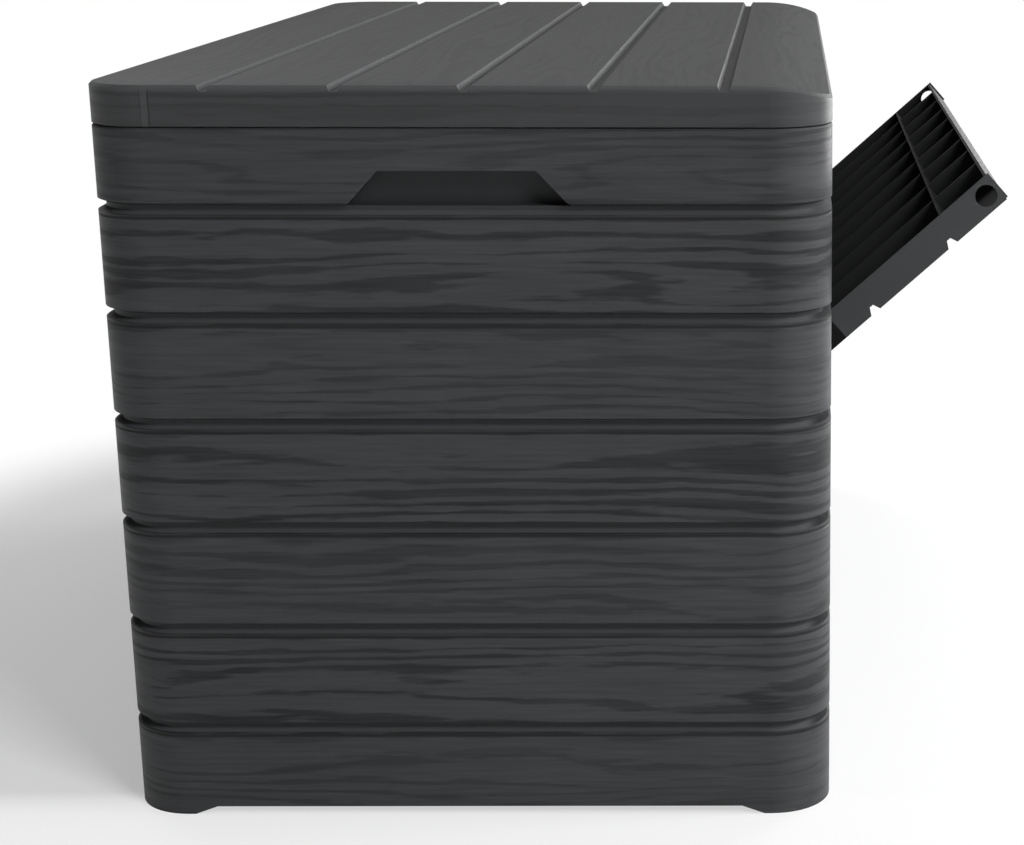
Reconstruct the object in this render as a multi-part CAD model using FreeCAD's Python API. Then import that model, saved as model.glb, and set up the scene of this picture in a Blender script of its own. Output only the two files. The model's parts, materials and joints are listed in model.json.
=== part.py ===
"""Garden storage chest of moulded boards, with a hinged lid and a drop-down door in its front wall.

Units are millimetres. X runs across the chest: the lid hinges are on the -X side and the door is on the
+X side. Y runs along it and Z is up. The origin is on the ground, under the middle of the chest.
"""

import FreeCAD, Part

import math
import os

# Overall form
chest_length = 1270.0
chest_width = 720.0
corner_radius = 60.0

# Moulded walls: a skin with flanges and upright ribs behind it
wall_depth = 33.5
skin = 3.0
rib = 2.5
rib_pitch = 205.0
seam_gap = 0.4

# Boards and the grooves between them, from the ground up
bottom_board = 80.25
board_pitch = 106.35
groove_count = 6
groove_depth = 8.0
groove_bevel_low = 4.4
groove_flat = 4.6
groove_bevel_high = 3.3
top_board = 71.45
rim_bevel_depth = 1.5
rim_bevel_drop = 2.0

# Corner feet under the walls
foot_height = 8.4
foot_length = 7.5
foot_ramp = 23.0
floor_ledge = 14.0

# Grip pocket in each end
grip_low_width = 216.0
grip_high_width = 151.7
grip_height = 34.6
grip_depth = 26.0

# Floor panel
floor_height = 23.0
floor_clearance = 0.5
floor_rib_pitch = 245.0
floor_foot_half = 18.0
floor_foot_spread_x = 190.0
floor_foot_spread_y = 420.0
drain_radius = 4.0

# Lid
lid_height = 40.3
lid_gap = 0.3
lid_edge_bevel = 3.0
lid_tuck_depth = 3.0
lid_tuck_rise = 1.5
lid_flange = 11.0
lid_groove_pitch = 123.2
lid_groove_count = 5
lid_groove_top = 13.6
lid_groove_floor = 7.0
lid_groove_depth = 6.0
lid_roll_width = 78.0
lid_roll_drop = 13.5
lid_rib_pitch = 215.0
lid_rib_height = 30.0

# Lid hinges
hinge_spread = 400.0
hinge_width = 64.0
leaf_thickness = 3.0
leaf_height = 26.0
leaf_edge = 6.5
barrel_radius = 6.0
hinge_pin_radius = 2.5
lid_open_angle = 100.0
stop_reach = 14.0
nose_width = 6.5
knuckle_end = 16.0
knuckle_gap = 0.5
pin_head = 1.5
leaf_screw_inset = 12.0

# Door in the front wall
jamb_width = 96.3
door_side_gap = 2.0
door_top_gap = 2.2
door_plate_rise = 2.5
door_seam = 2.1
door_open_angle = 48.4
door_bays = 9
pivot_inset = 4.5
pivot_rise = 38.0
door_bolt_hole_radius = 11.5
door_bolt_drop = 16.5

# Door hinge blocks, pins and stop strips
block_width = 22.0
block_rise = 26.0
door_pin_radius = 3.0
door_pin_engagement = 18.0
door_boss_radius = 7.5
door_boss_length = 20.0
washer_radius = 4.4
strip_depth = 20.0
strip_overlap = 10.0
strip_top_gap = 44.0

# Door bolts
bolt_radius = 11.0
bolt_travel = 20.0
bolt_length = 52.0
bolt_setback = 1.5
bolt_stem = 7.4
bolt_stem_inset = 3.0
bolt_stem_reach = 27.0
bolt_knob_radius = 9.0
bolt_knob_thickness = 8.0
housing_length = 58.0
housing_height = 30.0

# Screws
screw_radius = 2.2
screw_head_radius = 4.4
screw_head_height = 2.4
leaf_screw_length = 16.0
joint_screw_length = 15.0
block_screw_inset = 9.0
block_screw_drop = 10.0

# Flat sides that small round pieces have
screw_sides = 6
bore_sides = 8
knuckle_sides = 12
bolt_sides = 16

# Clearances
fit = 0.3
screw_clearance = 0.15
running_clearance = 0.06

# Sizes that follow from the ones above
half_length = chest_length / 2
half_width = chest_width / 2
corner_x = half_width - corner_radius
corner_y = half_length - corner_radius
groove_opening = groove_bevel_low + groove_flat + groove_bevel_high
first_groove = foot_height + bottom_board
rim = first_groove + (groove_count - 1) * board_pitch + groove_opening + top_board
grooves = [first_groove + k * board_pitch for k in range(groove_count)]
inner_x = half_width - wall_depth
inner_y = half_length - wall_depth
ledge_reach = wall_depth + floor_ledge
lid_under = rim + lid_gap
lid_top = lid_under + lid_height
floor_under = foot_height + skin + fit
floor_top = floor_under + floor_height
wall_end = corner_y - seam_gap / 2
opening_half = wall_end - jamb_width
door_half = opening_half - door_side_gap
wall_break = grooves[3] + groove_bevel_low + groove_flat / 2 - door_seam / 2
door_bottom = wall_break + door_seam
door_top = lid_under - door_top_gap
pivot_x = half_width - pivot_inset
pivot_z = door_bottom + pivot_rise
bolt_x = half_width - wall_depth / 2
bolt_z = door_top - door_bolt_drop
block_top = pivot_z + block_rise
hinge_axis_x = -half_width - leaf_thickness - barrel_radius + hinge_pin_radius
hinge_axis_z = rim + lid_gap / 2

UP = FreeCAD.Vector(0, 0, 1)
ALONG = FreeCAD.Vector(0, 1, 0)
ACROSS = FreeCAD.Vector(1, 0, 0)
ORIGIN = FreeCAD.Vector(0, 0, 0)


def vec(x, y, z):
    return FreeCAD.Vector(x, y, z)


def box(x0, x1, y0, y1, z0, z1):
    """A block between two corners."""
    return Part.makeBox(x1 - x0, y1 - y0, z1 - z0, vec(x0, y0, z0))


def rod(radius, start, direction, length):
    """A round rod."""
    return Part.makeCylinder(radius, length, start, direction)


def flat_bore(sides, radius, start, direction, length):
    """The room that a round rod of this radius needs, with flat sides that touch it."""
    return flat_rod(sides, radius / math.cos(math.pi / sides), start, direction, length)


def flat_rod(sides, radius, start, direction, length):
    """A rod with flat sides, whose corners lie at the radius."""
    turn = FreeCAD.Rotation(UP, direction)
    angles = [2 * math.pi * k / sides for k in range(sides)]
    corners = [start + turn.multVec(vec(math.cos(a), math.sin(a), 0)) * radius for a in angles]
    return Part.Face(Part.makePolygon(corners + corners[:1])).extrude(direction * length)


def join(shapes):
    """One shape from several that overlap, with its split faces merged."""
    joined = shapes[0].fuse(shapes[1:]) if len(shapes) > 1 else shapes[0]
    return joined.removeSplitter()


def moved(shape, angle, x, y):
    """A copy turned about the vertical through the origin, then shifted."""
    copy = shape.copy()
    copy.rotate(ORIGIN, UP, angle)
    copy.translate(vec(x, y, 0))
    return copy


def shifted(shape, offset):
    """A copy moved by an offset."""
    copy = shape.copy()
    copy.translate(offset)
    return copy


def both_ends(shape):
    """A piece and its mirror image at the other end of the chest."""
    return [shape, shape.mirror(ORIGIN, ALONG)]


def section_face(points):
    """A face in the XZ plane with corners at (x, z) points."""
    corners = [vec(x, 0, z) for x, z in points]
    return Part.Face(Part.makePolygon(corners + corners[:1]))


def plan_block(half_x, half_y, radius, z0, z1):
    """A block with a rounded rectangle as its plan."""
    block = box(-half_x, half_x, -half_y, half_y, z0, z1)
    uprights = [edge for edge in block.Edges if abs(edge.tangentAt(edge.FirstParameter).z) > 0.5]
    return block.makeFillet(radius, uprights)


def even_places(start, end, pitch):
    """Even places between two ends, no further apart than the pitch."""
    bays = math.ceil((end - start) / pitch)
    return [start + (end - start) * k / bays for k in range(1, bays)]


# The face of the boards


def board_line(z0, z1, inset):
    """Points (offset, z) up the face of the boards from z0 to z1, set back by inset."""
    low_slope = math.atan2(groove_bevel_low, groove_depth)
    high_slope = math.atan2(groove_bevel_high, groove_depth)
    low_shift = inset * math.tan(math.pi / 4 - low_slope / 2)
    high_shift = inset * math.tan(math.pi / 4 - high_slope / 2)
    line = [(-inset, z0 - board_pitch)]
    for z in grooves:
        line.append((-inset, z - low_shift))
        line.append((-groove_depth - inset, z + groove_bevel_low - low_shift))
        line.append((-groove_depth - inset, z + groove_bevel_low + groove_flat + high_shift))
        line.append((-inset, z + groove_opening + high_shift))
    line.append((-inset, z1 + board_pitch))
    points = []
    for (a, za), (b, zb) in zip(line, line[1:]):
        points += [(a + (b - a) * (z - za) / (zb - za), z) for z in (z0, z1) if za < z < zb]
        if z0 <= zb <= z1:
            points.append((b, zb))
    return [p for p, following in zip(points, points[1:]) if following[1] - p[1] > fit] + points[-1:]


def on_corner(points):
    """Moves points given as offsets from the face onto a wall that stands one corner radius from the axis."""
    return [(corner_radius + offset, z) for offset, z in points]


def skin_section(z0, z1, low_reach, high_reach):
    """The wall's moulded section: its skin, with a flange at each end."""
    points = board_line(z0, z1, 0)
    if z1 == rim:
        points[-1:] = [(0, rim - rim_bevel_drop), (-rim_bevel_depth, rim)]
    points += [(-high_reach, z1), (-high_reach, z1 - skin)]
    points += reversed(board_line(z0 + skin, z1 - skin, skin))
    points += [(-low_reach, z0 + skin), (-low_reach, z0)]
    return section_face(on_corner(points))


def corner_section(z0, z1):
    """The section of a rounded corner, which is thicker than the walls and plain inside."""
    depth = groove_depth + skin
    points = board_line(z0, z1, 0)
    points[-1:] = [(0, rim - rim_bevel_drop), (-rim_bevel_depth, rim)]
    points += [(-wall_depth, z1), (-wall_depth, z1 - skin), (-depth, z1 - skin), (-depth, z0 + skin)]
    points += [(-ledge_reach, z0 + skin), (-ledge_reach, z0)]
    return section_face(on_corner(points))


def full_section(z0, z1):
    """The section of an upright rib: all that lies between the skin's middle and the wall's inside."""
    points = board_line(z0, z1, skin / 2)
    points += [(-wall_depth, z1), (-wall_depth, z0)]
    return section_face(on_corner(points))


def upright_rib(z0, z1, at, thickness):
    """An upright rib on a wall that runs along +Y, from at to at + thickness."""
    return shifted(full_section(z0, z1).extrude(ALONG * thickness), ALONG * at)


def straight_wall(z0, z1, start, end):
    """A stretch of wall along +Y with a closing flange at each end and ribs between."""
    run = skin_section(z0, z1, ledge_reach, wall_depth).extrude(ALONG * (end - start))
    parts = [shifted(run, ALONG * start)]
    parts += [upright_rib(z0, z1, place, skin) for place in (start, end - skin)]
    parts += [upright_rib(z0, z1, place - rib / 2, rib) for place in even_places(start, end, rib_pitch)]
    return parts


def foot_wedge():
    """The foot that runs on from a corner along +Y, with a ramp up to the wall's lower edge."""
    ramp_end = foot_length + foot_ramp
    top = foot_height + skin
    profile = [(0, 0), (foot_length, 0), (ramp_end, foot_height), (ramp_end, top), (0, top)]
    points = [vec(corner_radius, y, z) for y, z in profile]
    return Part.Face(Part.makePolygon(points + points[:1])).extrude(ACROSS * -wall_depth)


def foot_bend():
    """The foot under a rounded corner."""
    low, top = corner_radius - wall_depth, foot_height + skin
    corners = [(low, 0), (corner_radius, 0), (corner_radius, top), (low, top)]
    return section_face(corners).revolve(ORIGIN, UP, 90)


# End panels


def grip_face(grow):
    """The grip pocket's outline on the end face, grown by grow on all sides."""
    low = grooves[-1] + groove_bevel_low + groove_flat
    slope = math.atan2((grip_low_width - grip_high_width) / 2, grip_height)
    low_half = grip_low_width / 2 + grow * (math.tan(slope) + 1 / math.cos(slope))
    high_half = grip_high_width / 2 + grow * (1 / math.cos(slope) - math.tan(slope))
    high = low + grip_height
    return section_face([
        (-low_half, low - grow), (low_half, low - grow), (high_half, high + grow), (-high_half, high + grow),
    ])


def with_grip(panel):
    """Sinks the grip pocket into the end face at -Y."""
    shell = grip_face(skin).extrude(ALONG * (grip_depth + skin / 2))
    shell = shifted(shell, ALONG * (skin / 2 - half_length))
    behind_face = box(-half_width, half_width, -half_length + groove_depth + skin / 2, 0, 0, rim)
    above_groove = box(-half_width, half_width, -half_length, 0, grooves[-1] + groove_opening + skin, rim)
    shell = shell.common(behind_face.fuse(above_groove))
    void = shifted(grip_face(0).extrude(ALONG * (grip_depth + skin)), ALONG * (-half_length - skin))
    return panel.fuse(shell).cut(void)


def screw_form(start, direction, length, clearance):
    """A screw whose head stands on start and whose shank points in direction, or the hole for the shank."""
    if clearance:
        return flat_rod(screw_sides, screw_radius + clearance, start, direction, length + skin)
    head = flat_rod(screw_sides, screw_head_radius, start - direction * screw_head_height, direction,
                    screw_head_height)
    return head.fuse(flat_rod(screw_sides, screw_radius, start, direction, length))


def joint_screw_places():
    """Heights of the joint screws, in the middle of the second and the sixth board."""
    middle = groove_opening + (board_pitch - groove_opening) / 2
    return grooves[0] + middle, grooves[4] + middle


def joint_screws(clearance):
    """All screws of the four upright joints, or the holes for them."""
    x = half_width - wall_depth / 2 - skin / 2
    screws = []
    for z in joint_screw_places():
        start = vec(x, -wall_end - seam_gap - skin, z)
        screw = screw_form(start, ALONG, joint_screw_length, clearance)
        pair = both_ends(screw)
        screws += pair + [moved(shape, 180, 0, 0) for shape in pair]
    return screws


def end_panel():
    """The panel at -Y: a face with a rounded corner at each side, open at the back."""
    section = skin_section(foot_height, rim, ledge_reach, wall_depth)
    width = 2 * corner_x
    wedge = foot_wedge()
    parts = [section.extrude(ALONG * width), wedge, shifted(wedge.mirror(ORIGIN, ALONG), ALONG * width)]
    places = even_places(0, width, rib_pitch)
    parts += [upright_rib(foot_height, rim, place - rib / 2, rib) for place in places]
    face_wall = moved(join(parts), -90, -corner_x, -corner_y)
    flange = upright_rib(foot_height, rim, seam_gap / 2, skin)
    bend = corner_section(foot_height, rim).revolve(ORIGIN, UP, 90)
    corner = join([bend, flange, foot_bend()]).mirror(ORIGIN, ALONG)
    left = moved(corner.mirror(ORIGIN, ACROSS), 0, -corner_x, -corner_y)
    right = moved(corner, 0, corner_x, -corner_y)
    panel = join([face_wall, left, right])
    beyond_seam = box(-half_width, half_width, -corner_y - seam_gap / 2, 0, 0, rim)
    panel = with_grip(panel.cut(beyond_seam))
    return panel.cut(joint_screws(screw_clearance)).removeSplitter()


# Long walls


def rear_panel():
    """The plain long wall at -X."""
    parts = straight_wall(foot_height, rim, -wall_end, wall_end)
    parts += both_ends(shifted(foot_wedge(), ALONG * -wall_end))
    wall = moved(shifted(join(parts), ACROSS * corner_x), 180, 0, 0)
    return wall.cut(joint_screws(screw_clearance) + wall_leaf_holes()).removeSplitter()


def stop_strip():
    """The strip behind the door's -Y end. Its slanted foot stops the open door's lower edge."""
    back = inner_x - 1
    front = back - strip_depth
    angle = math.radians(door_open_angle)
    gap = wall_depth - pivot_inset + fit

    def foot_z(x):
        away = (pivot_x - x - gap * math.cos(angle)) / math.sin(angle)
        return pivot_z + gap * math.sin(angle) - away * math.cos(angle)

    top = door_top - strip_top_gap
    strip = section_face([(front, foot_z(front)), (back, foot_z(back)), (back, top), (front, top)])
    strip = strip.extrude(ALONG * (strip_overlap + 2 * skin))
    root_end = -opening_half - 2 * skin
    root = box(back - skin, inner_x + skin, root_end, -opening_half, foot_z(back) + skin, top)
    return shifted(strip, ALONG * root_end).fuse(root)


def door_boss():
    """The boss in the -Y jamb that holds the door's hinge pin, merged with the wall's skin."""
    start = vec(pivot_x, -opening_half - skin / 2, pivot_z)
    boss = flat_rod(knuckle_sides, door_boss_radius, start, -ALONG, door_boss_length)
    return boss.common(box(inner_x, half_width - skin / 2, -half_length, 0, 0, rim))


def front_panel():
    """The long wall at +X: full height beside the door, and up to the door's lower edge between."""
    low = straight_wall(foot_height, wall_break, -opening_half - skin, opening_half + skin)
    jamb = straight_wall(foot_height, rim, -wall_end, -opening_half)
    jamb.append(shifted(foot_wedge(), ALONG * -wall_end))
    jambs = both_ends(join(jamb))
    wall = shifted(join([join(low)] + jambs), ACROSS * corner_x)
    wall = wall.fuse(both_ends(stop_strip()) + both_ends(door_boss()))
    pin_start = vec(pivot_x, -opening_half - door_boss_length, pivot_z)
    pin_room = door_pin_radius + running_clearance
    pin_hole = flat_bore(bore_sides, pin_room, pin_start, ALONG, door_boss_length + skin)
    bolt_start = vec(bolt_x, -opening_half - 2 * skin, bolt_z)
    bolt_hole = flat_rod(bolt_sides, door_bolt_hole_radius, bolt_start, ALONG, 3 * skin)
    holes = joint_screws(screw_clearance) + both_ends(pin_hole) + both_ends(bolt_hole)
    return wall.cut(holes).removeSplitter()


# Floor


def floor_panel():
    """The floor: a deck on a grid of ribs, with feet under it and drain holes through it."""
    half_x = inner_x - floor_clearance
    half_y = inner_y - floor_clearance
    radius = corner_radius - wall_depth - floor_clearance
    block = plan_block(half_x, half_y, radius, floor_under, floor_top)
    hollow = plan_block(half_x - skin, half_y - skin, radius - skin, floor_under, floor_top - skin)
    inside = plan_block(half_x - skin / 2, half_y - skin / 2, radius - skin / 2, floor_under,
                        floor_top - skin / 2)
    grid = []
    for x in even_places(-half_x, half_x, floor_rib_pitch):
        grid.append(box(x - rib / 2, x + rib / 2, -half_y, half_y, floor_under, floor_top))
    for y in even_places(-half_y, half_y, floor_rib_pitch):
        grid.append(box(-half_x, half_x, y - rib / 2, y + rib / 2, floor_under, floor_top))
    parts = [block.cut(hollow)] + [slab.common(inside) for slab in grid]
    drains = []
    for i in (-1, 0, 1):
        for j in (-1, 0, 1):
            x, y, half = i * floor_foot_spread_x, j * floor_foot_spread_y, floor_foot_half
            parts.append(box(x - half, x + half, y - half, y + half, 0, floor_top - skin / 2))
            if i and j:
                start = vec(x + i * 2 * half, y - j * 2 * half, floor_under)
                drains.append(flat_rod(knuckle_sides, drain_radius, start, UP, floor_height + fit))
    return join(parts).cut(drains)


# Lid


def roll_tool(inset):
    """What the rolled front edge of the lid takes off, set in by inset."""
    radius = (lid_roll_width ** 2 + lid_roll_drop ** 2) / (2 * lid_roll_drop)
    centre = vec(half_width - lid_roll_width, 0, lid_top - radius)
    reach = radius - inset
    half_turn = math.asin((lid_roll_width + skin) / radius)

    def on_arc(angle):
        return centre + vec(math.sin(angle), 0, math.cos(angle)) * reach

    start, middle, end = on_arc(0), on_arc(half_turn / 2), on_arc(half_turn)
    above = lid_top + lid_height
    right = end.x + skin
    corner_points = [end, vec(right, 0, end.z), vec(right, 0, above), vec(start.x, 0, above), start]
    edges = [Part.Arc(start, middle, end).toShape()]
    edges += [Part.LineSegment(a, b).toShape() for a, b in zip(corner_points, corner_points[1:])]
    tool = Part.Face(Part.Wire(edges)).extrude(ALONG * (chest_length + 2 * skin))
    return shifted(tool, ALONG * (-half_length - skin))


def lid_block(inset, z0):
    """The lid's outside form, set in by inset."""
    block = plan_block(half_width - inset, half_length - inset, corner_radius - inset, z0, lid_top - inset)
    return block.cut(roll_tool(inset))


def top_edges(block):
    """The edges round the top of the lid's block, where its top meets its sides."""
    lowest = lid_top - lid_roll_drop - 1
    found = []
    for edge in block.Edges:
        bounds = edge.BoundBox
        on_rim = (
            abs(abs(bounds.XMin) - half_width) < 0.1 and bounds.XLength < 0.1
            or abs(abs(bounds.YMin) - half_length) < 0.1 and bounds.YLength < 0.1
            or bounds.XLength > 1 and bounds.YLength > 1
        )
        rises = bounds.ZLength > lid_roll_drop + 1
        if bounds.ZMin > lowest and on_rim and not rises:
            found.append(edge)
    return found


def around_chest(points):
    """Sweeps a section of (offset, z) points right round the chest."""
    face = section_face(on_corner(points))
    bend = face.revolve(ORIGIN, UP, 90)
    pieces = []
    turns = ((0, 1, 1, corner_x), (90, -1, 1, corner_y), (180, -1, -1, corner_x), (270, 1, -1, corner_y))
    for angle, x, y, run in turns:
        pieces.append(moved(bend, angle, x * corner_x, y * corner_y))
        pieces.append(moved(face.extrude(ALONG * (2 * run)), angle + 90, x * corner_x, y * corner_y))
    return pieces


def lid_groove_places():
    """Middles of the grooves in the lid's top, counted from the hinge side."""
    return [-half_width + lid_groove_pitch * k for k in range(1, lid_groove_count + 1)]


def lid_groove(x):
    """What one groove takes out of the lid's top."""
    half_top, half_floor = lid_groove_top / 2, lid_groove_floor / 2
    widen = (half_top - half_floor) / lid_groove_depth
    low, above = lid_top - lid_groove_depth, lid_top + skin
    high_half = half_top + widen * skin
    points = [(x - half_floor, low), (x + half_floor, low), (x + high_half, above), (x - high_half, above)]
    groove = section_face(points).extrude(ALONG * (chest_length + 2 * skin))
    return shifted(groove, ALONG * (-half_length - skin))


def lid_tuck():
    """The bevel under the lid's edge, right round the chest."""
    slope = lid_tuck_rise / lid_tuck_depth
    return around_chest([
        (-lid_tuck_depth, lid_under),
        (skin, lid_under + slope * (lid_tuck_depth + skin)),
        (skin, lid_under - skin),
        (-lid_tuck_depth, lid_under - skin),
    ])


def lid_shell():
    """The lid: a skin with board grooves on top, a flange round its lower edge and cross ribs below."""
    block = lid_block(0, lid_under)
    block = block.makeChamfer(lid_edge_bevel, top_edges(block)).cut(lid_tuck())
    flange_top = lid_under + lid_tuck_rise + skin
    cavity = lid_block(skin, flange_top)
    mouth = plan_block(half_width - lid_flange, half_length - lid_flange, corner_radius - lid_flange,
                       lid_under - skin, flange_top + skin)
    shell = block.cut(cavity.fuse(mouth))
    inside = lid_block(skin / 2, lid_top - lid_rib_height)
    slabs = []
    half_x, half_y = half_width - skin, half_length - skin
    for y in even_places(-half_y, half_y, lid_rib_pitch):
        slabs.append(box(-half_x, half_x, y - rib / 2, y + rib / 2, lid_top - lid_rib_height, lid_top))
    for x in lid_groove_places():
        trough = lid_groove_top / 2 + skin / 2
        slabs.append(box(x - trough, x + trough, -half_y, half_y, lid_top - lid_groove_depth - skin, lid_top))
    shell = shell.fuse([slab.common(inside) for slab in slabs])
    shell = shell.cut([lid_groove(x) for x in lid_groove_places()] + lid_leaf_holes())
    return shell.removeSplitter()


# Lid hinges


def hinge_places():
    return (("near", -hinge_spread), ("mid", 0.0), ("far", hinge_spread))


def barrel(y0, y1):
    """A hinge knuckle without its bore."""
    return flat_rod(knuckle_sides, barrel_radius, vec(hinge_axis_x, y0, hinge_axis_z), ALONG, y1 - y0)


def leaf_plate(y, z0, z1):
    """The flat of a leaf, which lies on the chest's rear side."""
    return box(-half_width - leaf_thickness, -half_width, y - hinge_width / 2, y + hinge_width / 2, z0, z1)


def web(y0, y1, z_plate):
    """Joins a knuckle to its plate."""
    low, high = sorted((hinge_axis_z, z_plate))
    return box(-half_width - leaf_thickness, -half_width - fit, y0, y1, low, high)


def wall_leaf_z():
    top = hinge_axis_z - leaf_edge
    return top - leaf_height, top


def lid_leaf_z():
    low = hinge_axis_z + leaf_edge
    return low, low + leaf_height


def pin_hole(y):
    start = vec(hinge_axis_x, y - hinge_width, hinge_axis_z)
    return flat_bore(bore_sides, hinge_pin_radius + running_clearance, start, ALONG, 2 * hinge_width)


def leaf_screws(z_range, clearance):
    """The screws through the leaves at one height, which point into the chest along +X, or their holes."""
    spread = hinge_width / 2 - leaf_screw_inset
    starts = []
    for _, y in hinge_places():
        for side in (-1, 1):
            starts.append(vec(-half_width - leaf_thickness, y + side * spread, sum(z_range) / 2))
    return [screw_form(start, ACROSS, leaf_screw_length, clearance) for start in starts]


def wall_leaf_holes():
    return leaf_screws(wall_leaf_z(), screw_clearance)


def lid_leaf_holes():
    return leaf_screws(lid_leaf_z(), screw_clearance)


def stop_nose(y0, y1):
    """The nose under a wall knuckle that the opened lid leaf comes to rest on."""
    angle = math.radians(lid_open_angle)
    face = hinge_axis_x - (-half_width - leaf_thickness)
    start = -barrel_radius / 2

    def rest_z(x):
        along = (x + face * math.cos(angle)) / -math.sin(angle)
        return -face * math.sin(angle) + along * math.cos(angle) - fit

    nose = section_face([
        (start, -barrel_radius * 0.8),
        (-stop_reach, rest_z(-stop_reach) - leaf_thickness),
        (-stop_reach, rest_z(-stop_reach)),
        (start, rest_z(start)),
    ])
    return shifted(nose.extrude(ALONG * (y1 - y0)), vec(hinge_axis_x, y0, hinge_axis_z))


def wall_leaf(y):
    """The leaf on the rear wall, with a knuckle and a stop nose at each end."""
    half = hinge_width / 2
    z0, z1 = wall_leaf_z()
    parts = [leaf_plate(y, z0, z1)]
    for y0, y1 in ((y - half, y - half + knuckle_end), (y + half - knuckle_end, y + half)):
        parts += [barrel(y0, y1), web(y0, y1, z1 - leaf_edge)]
    for y0, y1 in ((y - half, y - half + nose_width), (y + half - nose_width, y + half)):
        parts.append(stop_nose(y0, y1))
    return join(parts).cut([pin_hole(y)] + wall_leaf_holes())


def lid_leaf(y):
    """The leaf on the lid's rear side, with one knuckle in the middle."""
    z0, z1 = lid_leaf_z()
    reach = hinge_width / 2 - knuckle_end - knuckle_gap
    knuckle = [barrel(y - reach, y + reach), web(y - reach, y + reach, z0 + leaf_edge)]
    return join([leaf_plate(y, z0, z1)] + knuckle).cut([pin_hole(y)] + lid_leaf_holes())


def lid_hinge_pin(y):
    """The pin through the three knuckles, with a head at its near end."""
    start = vec(hinge_axis_x, y - hinge_width / 2 - fit, hinge_axis_z)
    pin = rod(hinge_pin_radius, start, ALONG, hinge_width + 2 * fit)
    return pin.fuse(flat_rod(bore_sides, hinge_pin_radius + 1, start, -ALONG, pin_head))


# Door


def opened(shape):
    """Turns a door piece from shut to its open stop, as the chest stands."""
    copy = shape.copy()
    copy.rotate(vec(pivot_x, 0, pivot_z), ALONG, door_open_angle)
    return copy


def block_space(grow):
    """The room that the -Y hinge block takes in the door's lower corner."""
    return box(inner_x - skin, half_width + skin, -door_half - skin, -door_half + block_width + grow,
               door_bottom - skin, block_top + grow)


def door_section():
    """The door's moulded section: skin, a flange at each end and one long rib above its last groove."""
    top = door_top - door_plate_rise
    points = board_line(door_bottom, top, 0)
    points += [(-wall_depth, top), (-wall_depth, top - skin)]
    long_rib = grooves[-1] + groove_opening + skin + rib
    inner = board_line(door_bottom + skin, top - skin, skin)
    inner.reverse()
    points += inner[:1]
    points += [(-skin, long_rib), (-wall_depth, long_rib), (-wall_depth, long_rib - rib), (-skin, long_rib - rib)]
    points += inner[1:]
    points += [(-wall_depth, door_bottom + skin), (-wall_depth, door_bottom)]
    return section_face(on_corner(points))


def door_lining():
    """The walls round the -Y hinge block's room in the door."""
    solid = full_section(door_bottom, door_top).extrude(ALONG * (block_width + skin))
    return shifted(solid, vec(corner_x, -door_half, 0)).common(block_space(skin))


def door_panel():
    """The door: board skin, end plates with bolt holes, cross ribs and one long rib."""
    run = shifted(door_section().extrude(ALONG * 2 * door_half), ALONG * -door_half)
    parts = [run] + both_ends(upright_rib(door_bottom, door_top, -door_half, skin))
    for k in range(1, door_bays):
        place = -door_half + 2 * door_half * k / door_bays
        parts.append(upright_rib(door_bottom, door_top - door_plate_rise, place - rib / 2, rib))
    door = shifted(join(parts), ACROSS * corner_x)
    bolt_hole = rod(door_bolt_hole_radius, vec(bolt_x, -door_half - skin, bolt_z), ALONG, 3 * skin)
    holes = both_ends(block_space(0)) + both_ends(bolt_hole) + block_screws(screw_clearance)
    return opened(door.fuse(both_ends(door_lining())).cut(holes).removeSplitter())


def block_screws(clearance):
    """One screw through each hinge block, along Y into the door's lining, or the hole for it."""
    start = vec(inner_x + block_screw_inset, -door_half, block_top - block_screw_drop)
    room = clearance + (skin if clearance else 0)
    shank = flat_rod(screw_sides, screw_radius + clearance, start, ALONG, block_width + 2 * skin + room)
    head = flat_rod(screw_sides, screw_head_radius + 2 * clearance, start - ALONG * room, ALONG,
                    screw_head_height + room + clearance)
    return both_ends(shank.fuse(head))


def hinge_block():
    """The dark block in the door's lower -Y corner that turns on the hinge pin, shut."""
    points = board_line(door_bottom, block_top - fit, 0)
    points += [(-wall_depth, block_top - fit), (-wall_depth, door_bottom)]
    block = section_face(on_corner(points)).extrude(ALONG * (block_width - fit))
    start = vec(pivot_x, -door_half - 1, pivot_z)
    bore = flat_bore(bore_sides, door_pin_radius + running_clearance, start, ALONG, door_pin_engagement + 1)
    return shifted(block, vec(corner_x, -door_half, 0)).cut([bore] + block_screws(screw_clearance))


def door_hinge_pin():
    """The pin on which the -Y end of the door turns, held in the jamb's boss."""
    length = door_boss_length + door_side_gap + door_pin_engagement - fit
    return rod(door_pin_radius, vec(pivot_x, -opening_half - door_boss_length, pivot_z), ALONG, length)


def door_washer():
    """The washer that keeps the door's -Y end off the jamb."""
    thickness = door_side_gap - 2 * fit
    start = vec(pivot_x, -opening_half + fit, pivot_z)
    ring = flat_rod(knuckle_sides, washer_radius, start, ALONG, thickness)
    return ring.cut(flat_bore(bore_sides, door_pin_radius + running_clearance, start, ALONG, thickness))


# Door bolts


def stem_range():
    """Where the drawn-back -Y bolt's stem begins and ends along Y."""
    start = -opening_half - bolt_setback - bolt_length + bolt_stem_inset
    return start, start + bolt_stem


def bolt_housing():
    """The guide in the -Y jamb, with a slot on the inside for the bolt's stem."""
    start = -opening_half - skin - fit
    back, front = inner_x + skin / 2, half_width - skin - fit
    block = box(back, front, start - housing_length, start, bolt_z - housing_height / 2, rim - skin - fit)
    bore_start = vec(bolt_x, start - housing_length - 1, bolt_z)
    bore = flat_rod(bolt_sides, bolt_radius + fit, bore_start, ALONG, housing_length + 2)
    stem_y0, stem_y1 = stem_range()
    half_stem = bolt_stem / 2 + fit
    slot = box(back - 1, bolt_x, stem_y0 - fit, stem_y1 + bolt_travel + fit, bolt_z - half_stem, bolt_z + half_stem)
    return block.cut([bore, slot])


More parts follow.
